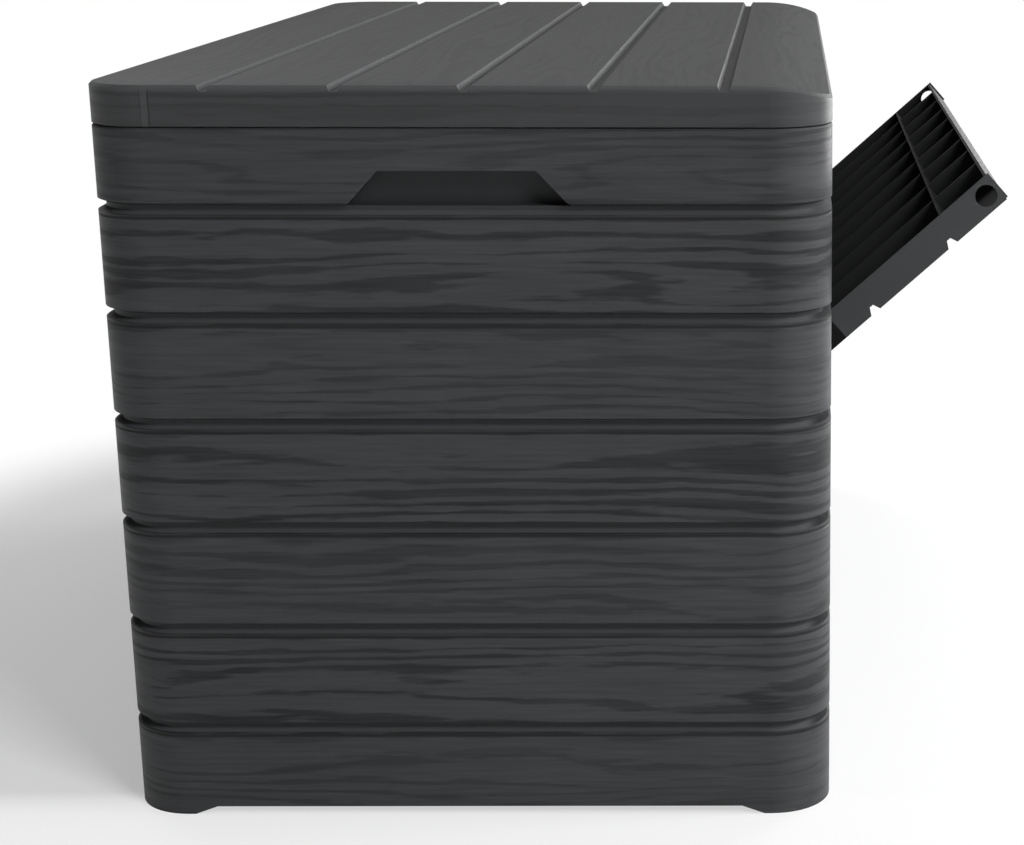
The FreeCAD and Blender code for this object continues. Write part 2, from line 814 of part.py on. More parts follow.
def door_bolt():
    """The -Y bolt, drawn back, with a stem and a knob inside the chest."""
    start = vec(bolt_x, -opening_half - bolt_setback, bolt_z)
    pin = flat_rod(bolt_sides, bolt_radius, start, -ALONG, bolt_length)
    y0, y1 = stem_range()
    half_stem = bolt_stem / 2
    stem = box(bolt_x - bolt_stem_reach, bolt_x, y0, y1, bolt_z - half_stem, bolt_z + half_stem)
    knob_face = vec(bolt_x - bolt_stem_reach, (y0 + y1) / 2, bolt_z)
    knob = flat_rod(bolt_sides, bolt_knob_radius, knob_face, -ACROSS, bolt_knob_thickness)
    return pin.fuse([stem, knob])


def main():
    os.makedirs("parts", exist_ok=True)
    near_end = end_panel()
    nodes = {
        "end_panel_near": near_end,
        "end_panel_far": moved(near_end, 180, 0, 0),
        "rear_panel": rear_panel(),
        "front_panel": front_panel(),
        "floor_panel": floor_panel(),
        "joint_screws": Part.makeCompound(joint_screws(0)),
        "lid_shell": lid_shell(),
        "lid_leaf_screws": Part.makeCompound(leaf_screws(lid_leaf_z(), 0)),
        "wall_leaf_screws": Part.makeCompound(leaf_screws(wall_leaf_z(), 0)),
        "door_panel": door_panel(),
        "hinge_block_screws": Part.makeCompound([opened(screw) for screw in block_screws(0)]),
    }
    for name, y in hinge_places():
        nodes[f"wall_hinge_leaf_{name}"] = wall_leaf(y)
        nodes[f"lid_hinge_leaf_{name}"] = lid_leaf(y)
        nodes[f"lid_hinge_pin_{name}"] = lid_hinge_pin(y)
    pairs = {
        "door_hinge_block": opened(hinge_block()),
        "door_hinge_pin": door_hinge_pin(),
        "door_hinge_washer": door_washer(),
        "bolt_housing": bolt_housing(),
        "door_bolt": door_bolt(),
    }
    for name, shape in pairs.items():
        nodes[f"{name}_near"], nodes[f"{name}_far"] = both_ends(shape)
    for name, shape in nodes.items():
        shape.exportStep(f"parts/{name}.step")
        print(name, "solids", len(shape.Solids), "valid", shape.isValid(), "litres", round(shape.Volume / 1e6, 3))


main()
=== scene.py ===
"""Looks of the garden storage chest: charcoal boards moulded with a wood grain, on a pale studio floor.

Lengths are metres in the part's own frame: X across, +X out of the door, Y along the chest, Z up.
"""

import json
import math

import bmesh
import bpy
from mathutils import Matrix, Vector

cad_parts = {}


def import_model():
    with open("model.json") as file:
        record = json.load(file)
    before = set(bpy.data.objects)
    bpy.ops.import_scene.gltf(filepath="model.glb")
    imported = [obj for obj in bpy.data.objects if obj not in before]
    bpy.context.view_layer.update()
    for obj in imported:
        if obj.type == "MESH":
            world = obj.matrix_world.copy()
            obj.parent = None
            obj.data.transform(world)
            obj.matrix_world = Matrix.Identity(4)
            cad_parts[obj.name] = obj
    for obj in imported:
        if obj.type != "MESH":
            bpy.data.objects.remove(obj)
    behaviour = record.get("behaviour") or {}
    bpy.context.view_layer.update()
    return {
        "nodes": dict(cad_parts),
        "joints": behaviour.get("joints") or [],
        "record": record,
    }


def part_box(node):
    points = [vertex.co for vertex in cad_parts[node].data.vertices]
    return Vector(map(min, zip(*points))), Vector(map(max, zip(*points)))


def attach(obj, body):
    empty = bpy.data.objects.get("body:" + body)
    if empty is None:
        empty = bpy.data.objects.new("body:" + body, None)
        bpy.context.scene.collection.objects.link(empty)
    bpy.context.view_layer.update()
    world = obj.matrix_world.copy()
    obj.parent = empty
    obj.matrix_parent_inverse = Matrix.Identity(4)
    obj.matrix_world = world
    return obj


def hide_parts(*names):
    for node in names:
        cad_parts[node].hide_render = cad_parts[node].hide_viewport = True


# Camera, fitted to the photograph
IMAGE_WIDTH = 1024
FOCAL_PX = 2182.2
CENTRE_X_PX = 807.4
SENSOR_MM = 36.0
CAMERA_PLACE = Vector((0.3176, -2.7147, 0.9511))
CAMERA_DOWN_DEG = 14.426
CAMERA_YAW_DEG = 0.497
CAMERA_ROLL_DEG = 0.139
CAMERA_REACH = 200.0

# Boards, as the part has them
FIRST_GROOVE = 0.08865
BOARD_PITCH = 0.10635
LID_PITCH = 0.1232
HALF_WIDTH = 0.36
HALF_LENGTH = 0.635
CORNER_RADIUS = 0.06
GRAIN_DEPTH = 0.003
DOOR_END = 0.4763
DOOR_TOP = 0.699
DOOR_SKIN = 0.009
DOOR_SKIN_END = 0.011
DOOR_TOP_EDGE = 0.0005
DOOR_END_EDGE = 0.0006

# Moulding seam in the lid's near end: two thin lines darkened with painted shade, with a painted highlight as
# a paler streak between them
LID_SEAM_X = -0.2895
LID_SEAM_Y = -0.6
LID_SEAM_FADE = 0.01
LID_SEAM_HALF = 0.0012
LID_SEAM_WIDTH = 0.008
LID_SEAM_DARK = 0.6
LID_SEAM_FAINT = 0.3
LID_SEAM_PALE = 0.35

# A painted highlight on the upper edge of the lid's sides, and painted shade on the rim of its top
LID_EDGE_LOW = 0.7375
LID_EDGE_HIGH = 0.744
LID_EDGE_DEPTH = 0.003
LID_EDGE_END = 0.005
LID_RIM_WIDTH = 0.05
LID_RIM_PART = 0.3

# Dark and light rings of the grain across one board, and how dark the rings are, less in every other board
RINGS_PER_BOARD = 6.0
RING_RANGE = (0.14, 0.5)
RIDGE = 0.74
RING_DEPTH = 0.5
CALM_LESS = 0.2

# How far under its groove a board's grain starts, how far apart in the noises two boards can lie, and the
# number that the lid's first board has
GRAIN_START_BELOW = 0.002
SEED_SPREAD = 37.0
LID_FIRST_STRIP = 20.0

# Noises of the grain: features per metre along and across the board, detail and amount
WANDER = (1.5, 13.0, 1.0, 9.0)
RIPPLE = (9.0, 60.0, 3.0, 0.9)
FRAY = (18.0, 170.0, 4.0, 1.5)
PATCHES = (2.5, 22.0, 2.0, 1.6)
DEPTH_DRIFT = (2.0, 9.0, 1.0, 0.5)
PORES = (14.0, 300.0, 3.0, 0.7)
CLOUDS = (5.0, 60.0, 2.0, 0.45)

# Crease under each groove, darkened with painted shade, as heights above the groove below it
CREASE_LOW = 0.1028
CREASE_HIGH = 0.1058
CREASE_EDGE = 0.0006

# Lower bevel of each groove, which catches the light, painted paler as a highlight, as heights above the
# groove
BEVEL_TOP = 0.0046
BEVEL_EDGE = 0.0008

# Depth behind the outline as far as which the grooves reach
GROOVE_REACH = 0.0085
GROOVE_REACH_END = 0.0095

# Where painted shade darkens the grooves as they turn round the corners, out from the corner's middle and
# along the wall
TURN_START = 0.033
TURN_END = 0.049
TURN_FADE_START = 0.425
TURN_FADE_END = 0.575

# The part of that dark left in the upper grooves, and the heights between which it falls to that
TURN_PART_UP = 0.4
TURN_LOW = 0.42
TURN_HIGH = 0.62

# Plastic's tones, as an sRGB grey and how cool it is: valleys and ridges of the grain, with the lid's top
# written lighter than its sides as painted light, and the painted shade of lines, a painted highlight and
# other painted shade
BOARD_TONES = ((33, 1.2), (67.5, 1.6))
LID_SIDE_TONES = ((35, 1.0), (63, 1.3))
LID_TOP_TONES = ((46, 0.8), (75, 1.0))
DOOR_TONES = ((39, 0.9), (76, 1.2))
LINE_TONE = (22, 0.0)
PAINTED_HIGHLIGHT_TONE = (78, 1.6)
PAINTED_SHADE_TONE = (26, 0.6)

# How much of its tone the painted shade of a line and other painted shade take, and how shiny the pieces are
LINE_PART = 0.75
PAINTED_SHADE_PART = 0.62
BOARD_SHINE = 0.2
GROOVE_SHINE = 0.02
LID_SHINE = 0.36

# Plastic's fine matt and its clouds: a noise's scale, detail and roughness, and how much of it shows
FINE_NOISE = (900.0, 2.0, 0.6)
FINE_TONE = 0.16
FINE_RELIEF = 0.08
CLOUD_NOISE = (3.0, 3.0, 0.5)
CLOUD_TONE = 0.3

# Height of plain plastic between valleys at 0 and ridges at 1, its relief, and how rough both are
PLAIN_HEIGHT = 0.5
LINE_RELIEF = 1.5
RELIEF_DEPTH = 0.0006
RELIEF_STRENGTH = 0.6
VALLEY_ROUGH = 0.6
RIDGE_ROUGH = 0.46

# How much of the grain the lid shows, and the tilts between which its sides turn into its top
LID_TOP_GRAIN = 0.25
LID_SIDE_GRAIN = 0.5
LID_TOP_TILTS = (0.5, 0.8)

# Marks of brushed steel per metre, drawn out along the chest or alike all ways
MARKS_ALONG = (2500, 150, 2500)
MARKS_EVEN = (2500, 2500, 2500)

# Round fasteners, whose solids have flat sides
ROUND_STEPS = 32
SHARP_DEG = 35.0
HEAD_RADIUS = 0.0044
HEAD_HEIGHT = 0.0024
SHANK_RADIUS = 0.0019
SHANK_TIP_PART = 0.6
RECESS_HALF = 0.00055
RECESS_REACH = 0.0024
RECESS_DEPTH = 0.0013
BOLT_RADIUS = 0.011
BOLT_CHAMFER = 0.0015
KNOB_RADIUS = 0.009
KNOB_HEIGHT = 0.008
STEM_WIDTH = 0.0074
STEM_INSET = 0.003
STEM_CHAMFER = 0.0006
STEM_IN_KNOB = 0.001
PIN_RADIUS = 0.0025
PIN_HEAD_RADIUS = 0.0035
PIN_HEAD_HEIGHT = 0.0015
PIN_TIP = 0.0005
PIN_TIP_PART = 0.8
SAME_POINT = 1e-6
SAME_END = 1e-4

# Light
WHITE = (1, 1, 1, 1)
WORLD_LEVEL = 0.34
WORLD_LEVEL_REAR = 0.2
WORLD_REAR_RANGE = (-0.7, 0.2)
SHADE_SIDE = Vector((-0.75, -0.66, 0.05))
SHADE_RANGE = (0.1, 0.9)
SHADE_PART = 0.85
GLOW_SIDE = Vector((0.75, 0.65, 0.1))
GLOW_RANGE = (0.75, 0.97)
GLOW_PART = 3.5
LIGHT_TARGET = Vector((0, 0, 0.4))
KEY_PLACE = Vector((4.0, -0.5, 2.2))
KEY_SIZE = 1.2
KEY_WATTS = 125.0
FRONT_PLACE = Vector((2.2, -3.1, 2.9))
FRONT_SIZE = 1.4
FRONT_WATTS = 88.0
RIM_PLACE = Vector((2.6, 2.4, 0.85))
RIM_SIZE = 1.2
RIM_WATTS = 74.0
REAR_PLACE = Vector((-2.6, 2.8, 3.6))
REAR_SIZE = 2.2
REAR_WATTS = 42.0
FLOOR_HALF = 40.0
FLOOR_TONE = 0.92
FLOOR_NOISE = (1.5, 2.0, 0.5)
FLOOR_CLOUD_PART = 0.02
FLOOR_PALE = 0.3
FLOOR_FADE_Y = 0.12
FLOOR_FADE_START = 0.85
FLOOR_FADE_END = 1.2
FLOOR_FRONT_PALE = 0.6
FLOOR_FRONT_START = -0.53
FLOOR_FRONT_END = -0.63

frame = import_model()


class Graph:
    """The node tree of a new material or world, with short calls for the nodes used here."""

    def __init__(self, owner):
        owner.use_nodes = True
        self.owner = owner
        self.nodes = owner.node_tree.nodes
        self.links = owner.node_tree.links
        self.nodes.clear()
        self.coords = self.nodes.new("ShaderNodeTexCoord")

    def feed(self, socket, value):
        if isinstance(value, bpy.types.NodeSocket):
            self.links.new(value, socket)
        else:
            socket.default_value = value

    def math(self, operation, a, b=0.0, clamp=False):
        node = self.nodes.new("ShaderNodeMath")
        node.operation = operation
        node.use_clamp = clamp
        self.feed(node.inputs[0], a)
        self.feed(node.inputs[1], b)
        return node.outputs[0]

    def measure(self, operation, a, b=(0, 0, 0)):
        """A number from vectors, such as the length of one or the dot product of two."""
        node = self.nodes.new("ShaderNodeVectorMath")
        node.operation = operation
        self.feed(node.inputs[0], a)
        self.feed(node.inputs[1], b)
        return node.outputs["Value"]

    def split(self, vector):
        node = self.nodes.new("ShaderNodeSeparateXYZ")
        self.feed(node.inputs[0], vector)
        return node.outputs[0], node.outputs[1], node.outputs[2]

    def combine(self, x, y, z):
        node = self.nodes.new("ShaderNodeCombineXYZ")
        for socket, value in zip(node.inputs, (x, y, z)):
            self.feed(socket, value)
        return node.outputs[0]

    def place(self, vector, scale=(1, 1, 1), rotation=(0, 0, 0), shift=(0, 0, 0)):
        node = self.nodes.new("ShaderNodeMapping")
        self.feed(node.inputs["Vector"], vector)
        node.inputs["Scale"].default_value = scale
        node.inputs["Rotation"].default_value = rotation
        node.inputs["Location"].default_value = shift
        return node.outputs[0]

    def noise(self, vector, scale=1.0, detail=2.0, roughness=0.5):
        node = self.nodes.new("ShaderNodeTexNoise")
        self.feed(node.inputs["Vector"], vector)
        node.inputs["Scale"].default_value = scale
        node.inputs["Detail"].default_value = detail
        node.inputs["Roughness"].default_value = roughness
        return node.outputs["Fac"]

    def random(self, value):
        node = self.nodes.new("ShaderNodeTexWhiteNoise")
        node.noise_dimensions = "1D"
        self.feed(node.inputs["W"], value)
        return node.outputs["Value"]

    def remap(self, value, low, high, new_low=0.0, new_high=1.0, smooth=False):
        node = self.nodes.new("ShaderNodeMapRange")
        node.interpolation_type = "SMOOTHSTEP" if smooth else "LINEAR"
        self.feed(node.inputs["Value"], value)
        span = {"From Min": low, "From Max": high, "To Min": new_low, "To Max": new_high}
        for name, number in span.items():
            node.inputs[name].default_value = number
        return node.outputs[0]

    def mix(self, factor, a, b):
        node = self.nodes.new("ShaderNodeMix")
        node.data_type = "FLOAT"
        self.feed(node.inputs[0], factor)
        self.feed(node.inputs[2], a)
        self.feed(node.inputs[3], b)
        return node.outputs[0]

    def mix_colour(self, factor, a, b):
        node = self.nodes.new("ShaderNodeMix")
        node.data_type = "RGBA"
        self.feed(node.inputs[0], factor)
        self.feed(node.inputs[6], a)
        self.feed(node.inputs[7], b)
        return node.outputs[2]

    def bump(self, height, distance, strength=1.0):
        node = self.nodes.new("ShaderNodeBump")
        node.inputs["Distance"].default_value = distance
        node.inputs["Strength"].default_value = strength
        self.feed(node.inputs["Height"], height)
        return node.outputs[0]

    def white_light(self, kind, strength=1.0):
        """A white Emission or Background shader."""
        node = self.nodes.new(kind)
        node.inputs["Color"].default_value = WHITE
        self.feed(node.inputs["Strength"], strength)
        return node.outputs[0]

    def mix_shaders(self, factor, a, b):
        node = self.nodes.new("ShaderNodeMixShader")
        for socket, value in zip(node.inputs, (factor, a, b)):
            self.feed(socket, value)
        return node.outputs[0]

    def show(self, shader, kind="ShaderNodeOutputMaterial"):
        """Leads a shader to the output, and gives back the material or world."""
        self.links.new(shader, self.nodes.new(kind).inputs[0])
        return self.owner

    def finish(self, colour, roughness, normal, metallic=0.0, specular=0.5, anisotropic=0.0):
        """Finishes a material with a Principled shader."""
        shader = self.nodes.new("ShaderNodeBsdfPrincipled")
        self.feed(shader.inputs["Base Color"], colour)
        self.feed(shader.inputs["Roughness"], roughness)
        shader.inputs["Metallic"].default_value = metallic
        self.feed(shader.inputs["Specular IOR Level"], specular)
        shader.inputs["Anisotropic"].default_value = anisotropic
        self.links.new(normal, shader.inputs["Normal"])
        return self.show(shader.outputs[0])


def grey(level, tint=0.0):
    """An sRGB grey level from 0 to 255 as a linear colour, slightly cool for a tint over zero."""
    def linear(value):
        value = value / 255
        return value / 12.92 if value <= 0.04045 else ((value + 0.055) / 1.055) ** 2.4

    return (linear(level - tint), linear(level), linear(level + tint), 1.0)


def grain(g, along_a, along_b, across, strip):
    """Wood grain pressed into a board: 0 is a valley and 1 a ridge.

    The lengths along and across the board are in metres. The strip counts boards, so that its whole part
    tells one board from the next and its fraction is the place within the board.
    """
    seed = g.math("MULTIPLY", g.random(g.math("FLOOR", strip)), SEED_SPREAD)
    inside = g.math("FRACT", strip)

    def stretched(along, width, detail, amount):
        """Noise drawn out along the board, both ways from zero, by its features per metre."""
        spot = g.combine(g.math("MULTIPLY", along_a, along), g.math("MULTIPLY", along_b, along),
                         g.math("ADD", g.math("MULTIPLY", across, width), seed))
        return g.math("MULTIPLY", g.math("SUBTRACT", g.noise(spot, 1.0, detail, 0.5), 0.5), amount)

    middle = g.math("MULTIPLY", g.math("MULTIPLY", inside, g.math("SUBTRACT", 1.0, inside)), 4.0)
    rings = g.math("MULTIPLY", inside, RINGS_PER_BOARD)
    rings = g.math("ADD", rings, g.math("MULTIPLY", stretched(*WANDER), middle))
    rings = g.math("ADD", rings, stretched(*RIPPLE))
    wave = g.math("MULTIPLY", g.math("PINGPONG", rings, 0.5), 2.0)
    wave = g.math("ADD", wave, stretched(*FRAY))
    wave = g.math("ADD", wave, stretched(*PATCHES))
    calm = g.math("PINGPONG", g.math("FLOOR", strip), 1.0)
    depth = g.math("SUBTRACT", RING_DEPTH, g.math("MULTIPLY", calm, CALM_LESS))
    depth = g.math("ADD", depth, stretched(*DEPTH_DRIFT))
    lines = g.remap(wave, *RING_RANGE, 1.0, 0.0, True)
    ridge = g.math("SUBTRACT", RIDGE, g.math("MULTIPLY", lines, depth))
    ridge = g.math("ADD", ridge, stretched(*PORES))
    return g.math("ADD", ridge, stretched(*CLOUDS), True)


def wall_grain(g, x, y, z):
    """Grain that runs level round the walls, new in each board."""
    strip = g.math("DIVIDE", g.math("SUBTRACT", z, FIRST_GROOVE - GRAIN_START_BELOW), BOARD_PITCH)
    return grain(g, x, y, z, strip)


def lid_grain(g, x, y, z):
    """Grain that runs along the lid's boards."""
    strip = g.math("DIVIDE", g.math("ADD", x, HALF_WIDTH), LID_PITCH)
    return grain(g, z, y, x, g.math("ADD", strip, LID_FIRST_STRIP))


def above_groove(g, z):
    """Height above the lower edge of the groove below."""
    above = g.math("FRACT", g.math("DIVIDE", g.math("SUBTRACT", z, FIRST_GROOVE), BOARD_PITCH))
    return g.math("MULTIPLY", above, BOARD_PITCH)


def crease(g, z):
    """1 in the thin line that runs just under each groove, and 0 elsewhere."""
    above = above_groove(g, z)
    rise = g.remap(above, CREASE_LOW - CREASE_EDGE, CREASE_LOW + CREASE_EDGE, 0.0, 1.0, True)
    fall = g.remap(above, CREASE_HIGH - CREASE_EDGE, CREASE_HIGH + CREASE_EDGE, 1.0, 0.0, True)
    return g.math("MULTIPLY", rise, fall)


def low_bevel(g, z, mask):
    """1 on the lower bevel of each groove, behind the boards' outer faces, and 0 elsewhere."""
    near_groove = g.remap(above_groove(g, z), BEVEL_TOP - BEVEL_EDGE, BEVEL_TOP + BEVEL_EDGE, 1.0, 0.0, True)
    return g.math("MULTIPLY", near_groove, g.math("SUBTRACT", 1.0, mask))


def plastic(g, ridge, mask, line, tones, shine, painted_highlight=None, painted_shade=None):
    """Charcoal plastic: grain as far as mask is over 0, a plain fine matt elsewhere, and sunk lines darkened
    with painted shade.

    Tones are those of the grain's valleys and ridges. The last two masks are 1 where a painted highlight
    makes the plastic paler, as on the grooves' lower bevels and the lid's side edges, and where painted shade
    makes it darker, as in turned grooves, inside the door and on the lid's rim.
    """
    point = g.coords.outputs["Object"]
    fine = g.noise(point, *FINE_NOISE)
    cloud = g.math("SUBTRACT", g.noise(point, *CLOUD_NOISE), 0.5)
    plain = g.math("ADD", g.math("MULTIPLY", fine, FINE_TONE), PLAIN_HEIGHT)
    height = g.mix(mask, plain, ridge)
    tone = g.math("ADD", height, g.math("MULTIPLY", cloud, CLOUD_TONE), True)
    colour = g.mix_colour(tone, *tones)
    # Painted shade in the creases and in the lid seam's lines
    colour = g.mix_colour(g.math("MULTIPLY", line, LINE_PART), colour, grey(*LINE_TONE))
    if painted_highlight is not None:
        # Painted highlight, paler where its mask is 1
        colour = g.mix_colour(painted_highlight, colour, grey(*PAINTED_HIGHLIGHT_TONE))
    if painted_shade is not None:
        # Painted shade, darker where its mask is 1
        colour = g.mix_colour(g.math("MULTIPLY", painted_shade, PAINTED_SHADE_PART), colour, grey(*PAINTED_SHADE_TONE))
    rough = g.remap(height, 0.0, 1.0, VALLEY_ROUGH, RIDGE_ROUGH)
    relief = g.math("ADD", height, g.math("MULTIPLY", fine, FINE_RELIEF))
    relief = g.math("SUBTRACT", relief, g.math("MULTIPLY", line, LINE_RELIEF))
    return g.finish(colour, rough, g.bump(relief, RELIEF_DEPTH, RELIEF_STRENGTH), specular=shine)


def outward(g, x, y):
    """1 on faces that look out of the chest's walls, 0 on those that look in."""
    nx, ny, _ = g.split(g.coords.outputs["Normal"])
    facing = g.math("ADD", g.math("MULTIPLY", nx, x), g.math("MULTIPLY", g.math("MULTIPLY", ny, y), 0.6))
    return g.remap(facing, 0.0, 0.04, 0.0, 1.0, True)


def depth_inside(g, x, y):
    """How far a point lies inside the outline of the chest, with its rounded corners."""
    over_x = g.math("MAXIMUM", g.math("SUBTRACT", g.math("ABSOLUTE", x), HALF_WIDTH - CORNER_RADIUS), 0.0)
    over_y = g.math("MAXIMUM", g.math("SUBTRACT", g.math("ABSOLUTE", y), HALF_LENGTH - CORNER_RADIUS), 0.0)
    reach = g.math("ADD", g.math("MULTIPLY", over_x, over_x), g.math("MULTIPLY", over_y, over_y))
    return g.math("SUBTRACT", CORNER_RADIUS, g.math("SQRT", reach))


def outer_face(g, x, y):
    """1 on the outline of the chest and 0 behind it, as in the grooves."""
    return g.remap(depth_inside(g, x, y), GRAIN_DEPTH / 3, GRAIN_DEPTH, 1.0, 0.0, True)


def near_outline(g, x, y):
    """1 as far in as the grooves reach, and 0 on the inner sides of the walls."""
    return g.remap(depth_inside(g, x, y), GROOVE_REACH, GROOVE_REACH_END, 1.0, 0.0)


def turned_groove(g, x, y, z, mask):
    """1 in the grooves where they have turned round a corner of the walls, less high up, and 0 elsewhere."""
    out = g.math("SUBTRACT", g.math("ABSOLUTE", x), HALF_WIDTH - CORNER_RADIUS)
    turned_out = g.remap(out, TURN_START, TURN_END, 0.0, 1.0, True)
    near_end = g.remap(g.math("ABSOLUTE", y), TURN_FADE_START, TURN_FADE_END, 0.0, 1.0, True)
    behind = g.math("MULTIPLY", g.math("SUBTRACT", 1.0, mask), near_outline(g, x, y))
    behind = g.math("MULTIPLY", behind, g.remap(z, TURN_LOW, TURN_HIGH, 1.0, TURN_PART_UP))
    return g.math("MULTIPLY", behind, g.math("MULTIPLY", turned_out, near_end))


def board_plastic():
    """The walls' and the floor's material, with grain on the boards' outer faces alone."""
    g = Graph(bpy.data.materials.new("board_plastic"))
    x, y, z = g.split(g.coords.outputs["Object"])
    mask = outer_face(g, x, y)
    # Crease line under each groove, darkened with painted shade
    line = g.math("MULTIPLY", crease(g, z), mask)
    # Painted shade in the grooves where they turn round the corners
    painted_shade = turned_groove(g, x, y, z, mask)
    # Painted highlight on the grooves' lower bevels
    painted_highlight = g.math("MULTIPLY", low_bevel(g, z, mask), near_outline(g, x, y))
    painted_highlight = g.math("MULTIPLY", painted_highlight, g.math("SUBTRACT", 1.0, painted_shade))
    shine = g.mix(painted_shade, BOARD_SHINE, GROOVE_SHINE)
    ridge = wall_grain(g, x, y, z)
    return plastic(g, ridge, mask, line, [grey(*tone) for tone in BOARD_TONES], shine, painted_highlight, painted_shade)


def lid_plastic():
    """The lid's material: calm grain on a top written lighter as painted light, a seam in the near end drawn
    with painted shade and a painted highlight, a painted highlight on the side edges and painted shade on the
    rim.
    """
    g = Graph(bpy.data.materials.new("lid_plastic"))
    x, y, z = g.split(g.coords.outputs["Object"])
    _, _, nz = g.split(g.coords.outputs["Normal"])
    on_top = g.remap(nz, *LID_TOP_TILTS, 0.0, 1.0, True)
    ridge = g.mix(on_top, wall_grain(g, x, y, z), lid_grain(g, x, y, z))
    on_side = g.math("MULTIPLY", outward(g, x, y), LID_SIDE_GRAIN)
    mask = g.math("MAXIMUM", g.math("MULTIPLY", on_top, LID_TOP_GRAIN), on_side)
    on_end = g.math("MULTIPLY", g.remap(y, LID_SEAM_Y, LID_SEAM_Y + LID_SEAM_FADE, 1.0, 0.0),
                    g.math("SUBTRACT", 1.0, on_top))

    def stripe(place, half, depth):
        """A line down the lid's near end."""
        off = g.math("ABSOLUTE", g.math("SUBTRACT", x, place))
        return g.math("MULTIPLY", on_end, g.remap(off, half / 2, half, depth, 0.0, True))

    # Seam lines darkened with painted shade, and a painted highlight streak between them
    seam = g.math("ADD", stripe(LID_SEAM_X, LID_SEAM_HALF, LID_SEAM_DARK),
                  stripe(LID_SEAM_X - LID_SEAM_WIDTH, LID_SEAM_HALF, LID_SEAM_FAINT))
    streak = stripe(LID_SEAM_X - LID_SEAM_WIDTH / 2, LID_SEAM_WIDTH / 2, LID_SEAM_PALE)
    inside = depth_inside(g, x, y)
    # Painted highlight on the upper edge of the lid's sides
    edge = g.math("MULTIPLY", g.remap(z, LID_EDGE_LOW, LID_EDGE_HIGH),
                  g.remap(inside, LID_EDGE_DEPTH, LID_EDGE_END, 1.0, 0.0))
    painted_highlight = g.math("MAXIMUM", streak, edge)
    # Painted shade on the top's rim along its outline
    rim = g.math("MULTIPLY", on_top, g.remap(inside, 0.0, LID_RIM_WIDTH, LID_RIM_PART, 0.0, True))
    rim = g.math("MULTIPLY", rim, g.math("SUBTRACT", 1.0, edge))
    # The top's tones are lighter than the sides' as painted light
    pairs = zip(LID_SIDE_TONES, LID_TOP_TONES)
    tones = [g.mix_colour(on_top, grey(*side), grey(*top)) for side, top in pairs]
    return plastic(g, ridge, mask, seam, tones, LID_SHINE, painted_highlight, rim)


def door_plastic():
    """The door's material, with the grain laid out as it is when the door is shut."""
    g = Graph(bpy.data.materials.new("door_plastic"))
    hinge = next(j for j in frame["joints"] if j["name"] == "door_hinge")
    shut = Matrix.Rotation(math.radians(hinge["range_deg"][0]), 4, Vector(hinge["axis"]))
    pivot = Vector(hinge["pos_m"])
    turn = shut.to_euler()
    shift = pivot - shut @ pivot
    x, y, z = g.split(g.place(g.coords.outputs["Object"], rotation=turn, shift=shift))
    nx, _, _ = g.split(g.place(g.coords.outputs["Normal"], rotation=turn))
    mask = g.math("MULTIPLY", g.remap(nx, 0.3, 0.6, 0.0, 1.0, True), outer_face(g, x, y))
    # Crease line, darkened with painted shade
    line = g.math("MULTIPLY", crease(g, z), mask)
    # Painted shade inside the door's skin and above its top, between its end plates
    behind = g.remap(depth_inside(g, x, y), DOOR_SKIN, DOOR_SKIN_END)
    behind = g.math("MAXIMUM", behind, g.remap(z, DOOR_TOP, DOOR_TOP + DOOR_TOP_EDGE))
    between_ends = g.remap(g.math("ABSOLUTE", y), DOOR_END - DOOR_END_EDGE, DOOR_END, 1.0, 0.0)
    painted_shade = g.math("MULTIPLY", behind, between_ends)
    ridge = wall_grain(g, x, y, z)
    return plastic(g, ridge, mask, line, [grey(*tone) for tone in DOOR_TONES], BOARD_SHINE, painted_shade=painted_shade)


def black_plastic():
    """Fine matt black."""
    g = Graph(bpy.data.materials.new("black_plastic"))
    point = g.coords.outputs["Object"]
    fine = g.noise(point, 1400.0, 2.0, 0.6)
    cloud = g.noise(point, 30.0, 3.0, 0.5)
    colour = g.mix_colour(cloud, grey(7), grey(15))
    return g.finish(colour, g.remap(cloud, 0.3, 0.7, 0.5, 0.62), g.bump(fine, 0.0002, 0.4), specular=0.15)


def white_plastic():
    """Smooth white, for the washers."""
    g = Graph(bpy.data.materials.new("white_plastic"))
    point = g.coords.outputs["Object"]
    cloud = g.noise(point, 120.0, 2.0, 0.5)
    colour = g.mix_colour(cloud, grey(205), grey(222))
    return g.finish(colour, g.remap(cloud, 0.3, 0.7, 0.35, 0.45), g.bump(cloud, 0.0001, 0.3))


def steel(name, stretch, low, high):
    """Zinc-plated steel with fine marks, between two grey levels."""
    g = Graph(bpy.data.materials.new(name))
    point = g.coords.outputs["Object"]
    marks = g.noise(g.place(point, scale=stretch), 1.0, 3.0, 0.6)
    cloud = g.noise(point, 60.0, 3.0, 0.55)
    colour = g.mix_colour(cloud, grey(low), grey(high))
    rough = g.math("ADD", g.remap(marks, 0.3, 0.7, 0.22, 0.4), g.math("MULTIPLY", cloud, 0.08))
    return g.finish(colour, rough, g.bump(marks, 0.0001, 0.35), metallic=1.0, anisotropic=0.3)


def dress():
    """Gives each part of the frame its material."""
    materials = {
        "board_plastic": board_plastic(),
        "lid_plastic": lid_plastic(),
        "door_plastic": door_plastic(),
        "black_plastic": black_plastic(),
        "white_plastic": white_plastic(),
        "pin_steel": steel("pin_steel", MARKS_ALONG, 168, 190),
        "screw_steel": steel("screw_steel", MARKS_EVEN, 160, 185),
        "hinge_steel": steel("hinge_steel", MARKS_ALONG, 150, 176),
    }
    for part in frame["record"]["subparts"]:
        node = frame["nodes"][part["node"]]
        node.data.materials.clear()
        node.data.materials.append(materials[part["material_slot"]])


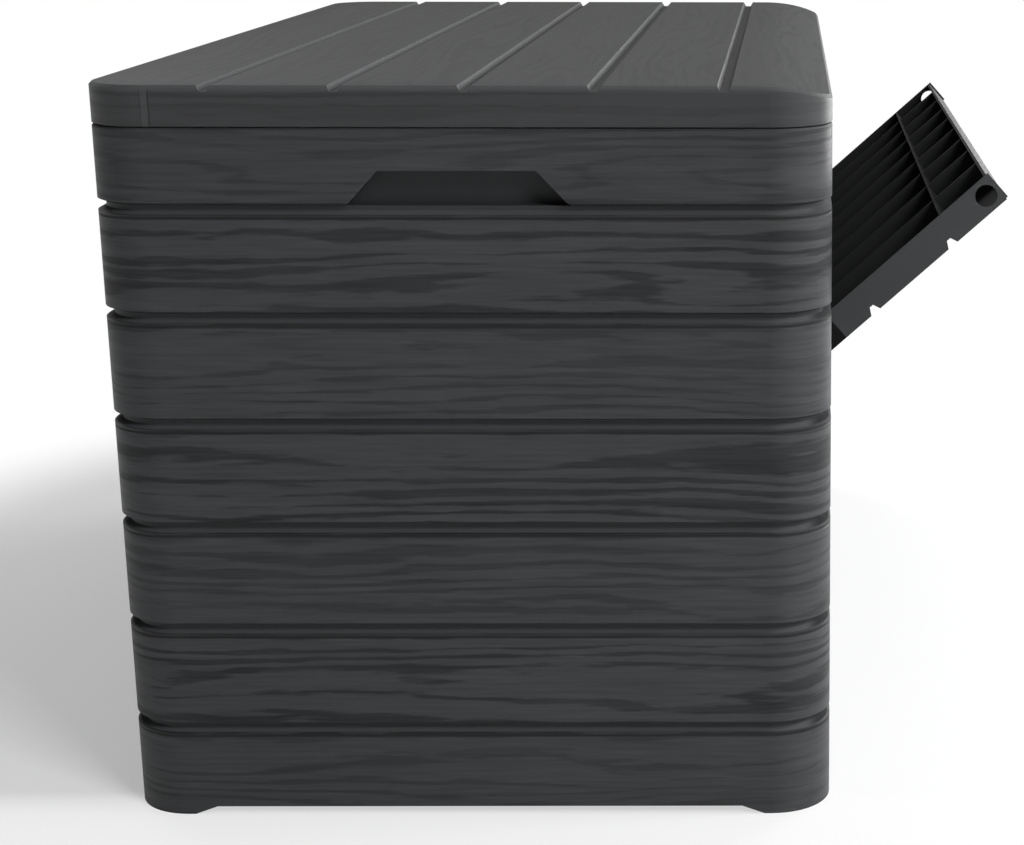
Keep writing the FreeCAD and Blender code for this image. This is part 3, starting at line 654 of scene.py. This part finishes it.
def separate_solids(node):
    """The corner points of each solid of a node."""
    bm = bmesh.new()
    bm.from_mesh(frame["nodes"][node].data)
    bmesh.ops.remove_doubles(bm, verts=bm.verts, dist=SAME_POINT)
    left, solids = set(bm.verts), []
    while left:
        front, points = [left.pop()], []
        while front:
            vert = front.pop()
            points.append(vert.co.copy())
            joined = {edge.other_vert(vert) for edge in vert.link_edges} & left
            left -= joined
            front += joined
        solids.append(points)
    bm.free()
    return sorted(solids, key=lambda points: min(tuple(point) for point in points))


def facing(direction):
    """The turn that points a form's Z axis in a direction, as a matrix."""
    return Vector(direction).to_track_quat("Z", "Y").to_matrix().to_4x4()


def turned(bm, profile, place):
    """Adds a form turned from (radius, height) points about its own Z axis, and put in place by a matrix."""
    rings = []
    for radius, height in profile:
        angles = [2 * math.pi * k / ROUND_STEPS for k in range(ROUND_STEPS if radius else 1)]
        points = [Vector((radius * math.cos(a), radius * math.sin(a), height)) for a in angles]
        rings.append([bm.verts.new(place @ point) for point in points])
    for low, high in zip(rings, rings[1:]):
        for k in range(ROUND_STEPS):
            following = k + 1
            corners = [low[k % len(low)], low[following % len(low)]]
            corners += [high[following % len(high)], high[k % len(high)]]
            bm.faces.new(list(dict.fromkeys(corners)))


def block(bm, low, high, chamfer):
    """Adds a block between two corners, with its edges taken off."""
    middle, size = (low + high) / 2, high - low
    place = Matrix.Translation(middle) @ Matrix.Diagonal(size.to_4d())
    made = bmesh.ops.create_cube(bm, size=1.0, matrix=place)
    edges = list({edge for vert in made["verts"] for edge in vert.link_edges})
    bmesh.ops.bevel(bm, geom=edges, offset=chamfer, segments=2, affect="EDGES", profile=0.5)


def standing_in(name, bm, node):
    """Makes the piece that is shown in place of a node, on its body and with its material."""
    mesh = bpy.data.meshes.new(name)
    bmesh.ops.recalc_face_normals(bm, faces=bm.faces)
    bm.to_mesh(mesh)
    bm.free()
    mesh.polygons.foreach_set("use_smooth", [True] * len(mesh.polygons))
    mesh.set_sharp_from_angle(angle=math.radians(SHARP_DEG))
    mesh.materials.append(frame["nodes"][node].data.materials[0])
    piece = bpy.data.objects.new(name, mesh)
    bpy.context.scene.collection.objects.link(piece)
    body = next(name for name, nodes in frame["record"]["behaviour"]["bodies"].items() if node in nodes)
    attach(piece, body)
    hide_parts(node)


def cross_prism(bm, narrow, reach, low, high):
    """Adds an upright prism with a cross as its plan."""
    quarter = [(reach, -narrow), (reach, narrow), (narrow, narrow)]
    plan = []
    for _ in range(4):
        plan += quarter
        quarter = [(-y, x) for x, y in quarter]
    rings = [[bm.verts.new((x, y, z)) for x, y in plan] for z in (low, high)]
    bm.faces.new(rings[0])
    bm.faces.new(rings[1])
    for k in range(len(plan)):
        following = (k + 1) % len(plan)
        bm.faces.new([rings[0][k], rings[0][following], rings[1][following], rings[1][k]])


def scratch_object(name, bm):
    """An object for a form that only helps to make another."""
    bmesh.ops.recalc_face_normals(bm, faces=bm.faces)
    mesh = bpy.data.meshes.new(name)
    bm.to_mesh(mesh)
    bm.free()
    thing = bpy.data.objects.new(name, mesh)
    bpy.context.scene.collection.objects.link(thing)
    return thing


def recessed_head():
    """The mesh of a domed screw head on the origin, with a cross recess in its top."""
    dome = bmesh.new()
    line = [(0.0, 0.0), (1.0, 0.0), (1.0, 0.25), (0.93, 0.55), (0.73, 0.83), (0.42, 0.96), (0.0, 1.0)]
    turned(dome, [(HEAD_RADIUS * r, HEAD_HEIGHT * h) for r, h in line], Matrix())
    cross = bmesh.new()
    cross_prism(cross, RECESS_HALF, RECESS_REACH, HEAD_HEIGHT - RECESS_DEPTH, 2 * HEAD_HEIGHT)
    whole, recess = scratch_object("head", dome), scratch_object("recess", cross)
    cut = whole.modifiers.new("cut", "BOOLEAN")
    cut.operation = "DIFFERENCE"
    cut.object = recess
    head = bpy.data.meshes.new_from_object(whole.evaluated_get(bpy.context.evaluated_depsgraph_get()))
    for thing in (whole, recess):
        bpy.data.objects.remove(thing)
    return head


def screw_place(points):
    """Where a screw's head sits and which way it points, as a matrix, and the length of its shank."""
    low = Vector([min(p[i] for p in points) for i in range(3)])
    high = Vector([max(p[i] for p in points) for i in range(3)])
    size, seat = high - low, (low + high) / 2
    axis = max(range(3), key=lambda i: size[i])

    def reach(end):
        return max((p - seat).length for p in points if abs(p[axis] - end) < SAME_END)

    outer = high[axis] if reach(high[axis]) > reach(low[axis]) else low[axis]
    direction = Vector((0, 0, 0))
    direction[axis] = math.copysign(1.0, outer - seat[axis])
    seat[axis] = outer - direction[axis] * HEAD_HEIGHT
    return Matrix.Translation(seat) @ facing(direction), size[axis] - HEAD_HEIGHT


def screws():
    """Domed screws with a cross recess, in place of the screws' solids."""
    head = recessed_head()
    for node in ("joint_screws", "lid_leaf_screws", "wall_leaf_screws", "hinge_block_screws"):
        bm = bmesh.new()
        for points in separate_solids(node):
            place, length = screw_place(points)
            one = head.copy()
            one.transform(place)
            bm.from_mesh(one)
            bpy.data.meshes.remove(one)
            tip = SHANK_RADIUS * SHANK_TIP_PART
            shank = [(0, -length), (tip, -length), (SHANK_RADIUS, tip - length), (SHANK_RADIUS, 0), (0, 0)]
            turned(bm, shank, place)
        standing_in("domed_" + node, bm, node)


def finger_knob(bm, low_x, bolt_x, y, z):
    """Adds a bolt's stem, from the bolt to the knob, and the round knob on its inner end."""
    half = STEM_WIDTH / 2
    start = Vector((low_x + KNOB_HEIGHT - STEM_IN_KNOB, y - half, z - half))
    block(bm, start, Vector((bolt_x, y + half, z + half)), STEM_CHAMFER)
    grip = [(0.0, 1.0), (0.7, 1.0), (0.92, 0.93), (1.0, 0.75), (1.0, 0.4), (0.86, 0.0), (0.0, 0.0)]
    knob = [(KNOB_RADIUS * r, KNOB_HEIGHT * (h - 1)) for r, h in reversed(grip)]
    turned(bm, knob, Matrix.Translation((low_x, y, z)) @ facing((-1, 0, 0)))


def door_bolts():
    """Round bolts with a stem and a finger knob, in place of the bolts' solids."""
    for end, out in (("near", 1.0), ("far", -1.0)):
        node = "door_bolt_" + end
        low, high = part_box(node)
        x, z = high.x - BOLT_RADIUS, (low.z + high.z) / 2
        start = low.y if out > 0 else high.y
        length, rim = high.y - low.y, BOLT_RADIUS - BOLT_CHAMFER
        pin = [(0, 0), (rim, 0), (BOLT_RADIUS, BOLT_CHAMFER), (BOLT_RADIUS, length - BOLT_CHAMFER)]
        pin += [(rim, length), (0, length)]
        bm = bmesh.new()
        turned(bm, pin, Matrix.Translation((x, start, z)) @ facing((0, out, 0)))
        finger_knob(bm, low.x, x, start + out * (STEM_INSET + STEM_WIDTH / 2), z)
        standing_in("round_" + node, bm, node)


def hinge_pins():
    """Pins with a domed head, in place of the lid hinge pins' solids."""
    for at in ("near", "mid", "far"):
        node = "lid_hinge_pin_" + at
        low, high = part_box(node)
        place = Matrix.Translation(((low.x + high.x) / 2, low.y, (low.z + high.z) / 2)) @ facing((0, 1, 0))
        length = high.y - low.y
        head = [(0.0, 0.0), (0.5, 0.08), (0.82, 0.35), (1.0, 0.75), (1.0, 1.0)]
        profile = [(PIN_HEAD_RADIUS * r, PIN_HEAD_HEIGHT * h) for r, h in head]
        profile += [(PIN_RADIUS, PIN_HEAD_HEIGHT), (PIN_RADIUS, length - PIN_TIP)]
        profile += [(PIN_RADIUS * PIN_TIP_PART, length), (0, length)]
        bm = bmesh.new()
        turned(bm, profile, place)
        standing_in("round_" + node, bm, node)


def plain_sheet(name, half, z):
    """A square sheet on the ground, subdivided once each way."""
    mesh = bpy.data.meshes.new(name)
    steps = (-half, 0.0, half)
    points = [(x, y, z) for y in steps for x in steps]
    faces = [(i, i + 1, i + 4, i + 3) for i in (0, 1, 3, 4)]
    mesh.from_pydata(points, [], faces)
    sheet = bpy.data.objects.new(name, mesh)
    bpy.context.scene.collection.objects.link(sheet)
    return sheet


def floor():
    """A pale studio floor that fades to white far from the chest."""
    sheet = plain_sheet("studio_floor", FLOOR_HALF, 0.0)
    g = Graph(bpy.data.materials.new("studio_floor"))
    point = g.coords.outputs["Object"]
    cloud = g.math("MULTIPLY", g.noise(point, *FLOOR_NOISE), FLOOR_CLOUD_PART)
    diffuse = g.nodes.new("ShaderNodeBsdfDiffuse")
    g.feed(diffuse.inputs["Color"], g.mix_colour(cloud, (FLOOR_TONE, FLOOR_TONE, FLOOR_TONE, 1), WHITE))
    distance = g.measure("LENGTH", g.place(point, shift=(0, -FLOOR_FADE_Y, 0)))
    far = g.remap(distance, FLOOR_FADE_START, FLOOR_FADE_END, FLOOR_PALE, 1.0, True)
    _, y, _ = g.split(point)
    front = g.remap(y, FLOOR_FRONT_START, FLOOR_FRONT_END, 0.0, FLOOR_FRONT_PALE, True)
    path = g.nodes.new("ShaderNodeLightPath")
    seen = g.math("MAXIMUM", path.outputs["Is Camera Ray"], path.outputs["Is Glossy Ray"])
    pale = g.math("MULTIPLY", g.math("MAXIMUM", far, front), seen)
    blend = g.mix_shaders(pale, diffuse.outputs[0], g.white_light("ShaderNodeEmission"))
    sheet.data.materials.append(g.show(blend))


def world():
    """Pale light from all sides, seen as white, weaker from the rear and with a shade and a glow in it."""
    g = Graph(bpy.data.worlds.new("studio"))
    bpy.context.scene.world = g.owner
    way = g.coords.outputs["Generated"]
    x, _, _ = g.split(way)
    strength = g.remap(x, *WORLD_REAR_RANGE, WORLD_LEVEL_REAR, WORLD_LEVEL, True)
    for side, span, part in ((SHADE_SIDE, SHADE_RANGE, -SHADE_PART), (GLOW_SIDE, GLOW_RANGE, GLOW_PART)):
        towards = g.measure("DOT_PRODUCT", way, side.normalized())
        strength = g.math("MULTIPLY", strength, g.remap(towards, *span, 1.0, 1.0 + part, True))
    soft, white = g.white_light("ShaderNodeBackground", strength), g.white_light("ShaderNodeBackground")
    seen = g.nodes.new("ShaderNodeLightPath").outputs["Is Camera Ray"]
    g.show(g.mix_shaders(seen, soft, white), "ShaderNodeOutputWorld")


def softbox(name, place, size, watts):
    """A square light that points at the chest."""
    light = bpy.data.lights.new(name, "AREA")
    light.shape = "SQUARE"
    light.size = size
    light.energy = watts
    lamp = bpy.data.objects.new(name, light)
    lamp.location = place
    lamp.rotation_euler = (LIGHT_TARGET - place).to_track_quat("-Z", "Y").to_euler()
    bpy.context.scene.collection.objects.link(lamp)


def camera():
    """The photograph's camera."""
    down, yaw, roll = (math.radians(v) for v in (CAMERA_DOWN_DEG, CAMERA_YAW_DEG, CAMERA_ROLL_DEG))
    forward = Vector((math.sin(yaw) * math.cos(down), math.cos(yaw) * math.cos(down), -math.sin(down)))
    level = Vector((math.cos(yaw), -math.sin(yaw), 0))
    upright = level.cross(forward)
    right = level * math.cos(roll) + upright * math.sin(roll)
    up = right.cross(forward)
    data = bpy.data.cameras.new("camera")
    data.sensor_width = SENSOR_MM
    data.lens = FOCAL_PX * SENSOR_MM / IMAGE_WIDTH
    data.shift_x = (IMAGE_WIDTH / 2 - CENTRE_X_PX) / IMAGE_WIDTH
    data.clip_end = CAMERA_REACH
    shot = bpy.data.objects.new("camera", data)
    turn = Matrix((right, up, -forward)).transposed().to_4x4()
    shot.matrix_world = Matrix.Translation(CAMERA_PLACE) @ turn
    bpy.context.scene.collection.objects.link(shot)
    bpy.context.scene.camera = shot


dress()
screws()
door_bolts()
hinge_pins()
floor()
world()
softbox("key_light", KEY_PLACE, KEY_SIZE, KEY_WATTS)
softbox("front_light", FRONT_PLACE, FRONT_SIZE, FRONT_WATTS)
softbox("rim_light", RIM_PLACE, RIM_SIZE, RIM_WATTS)
softbox("rear_light", REAR_PLACE, REAR_SIZE, REAR_WATTS)
camera()
bpy.context.scene.view_settings.view_transform = "Standard"
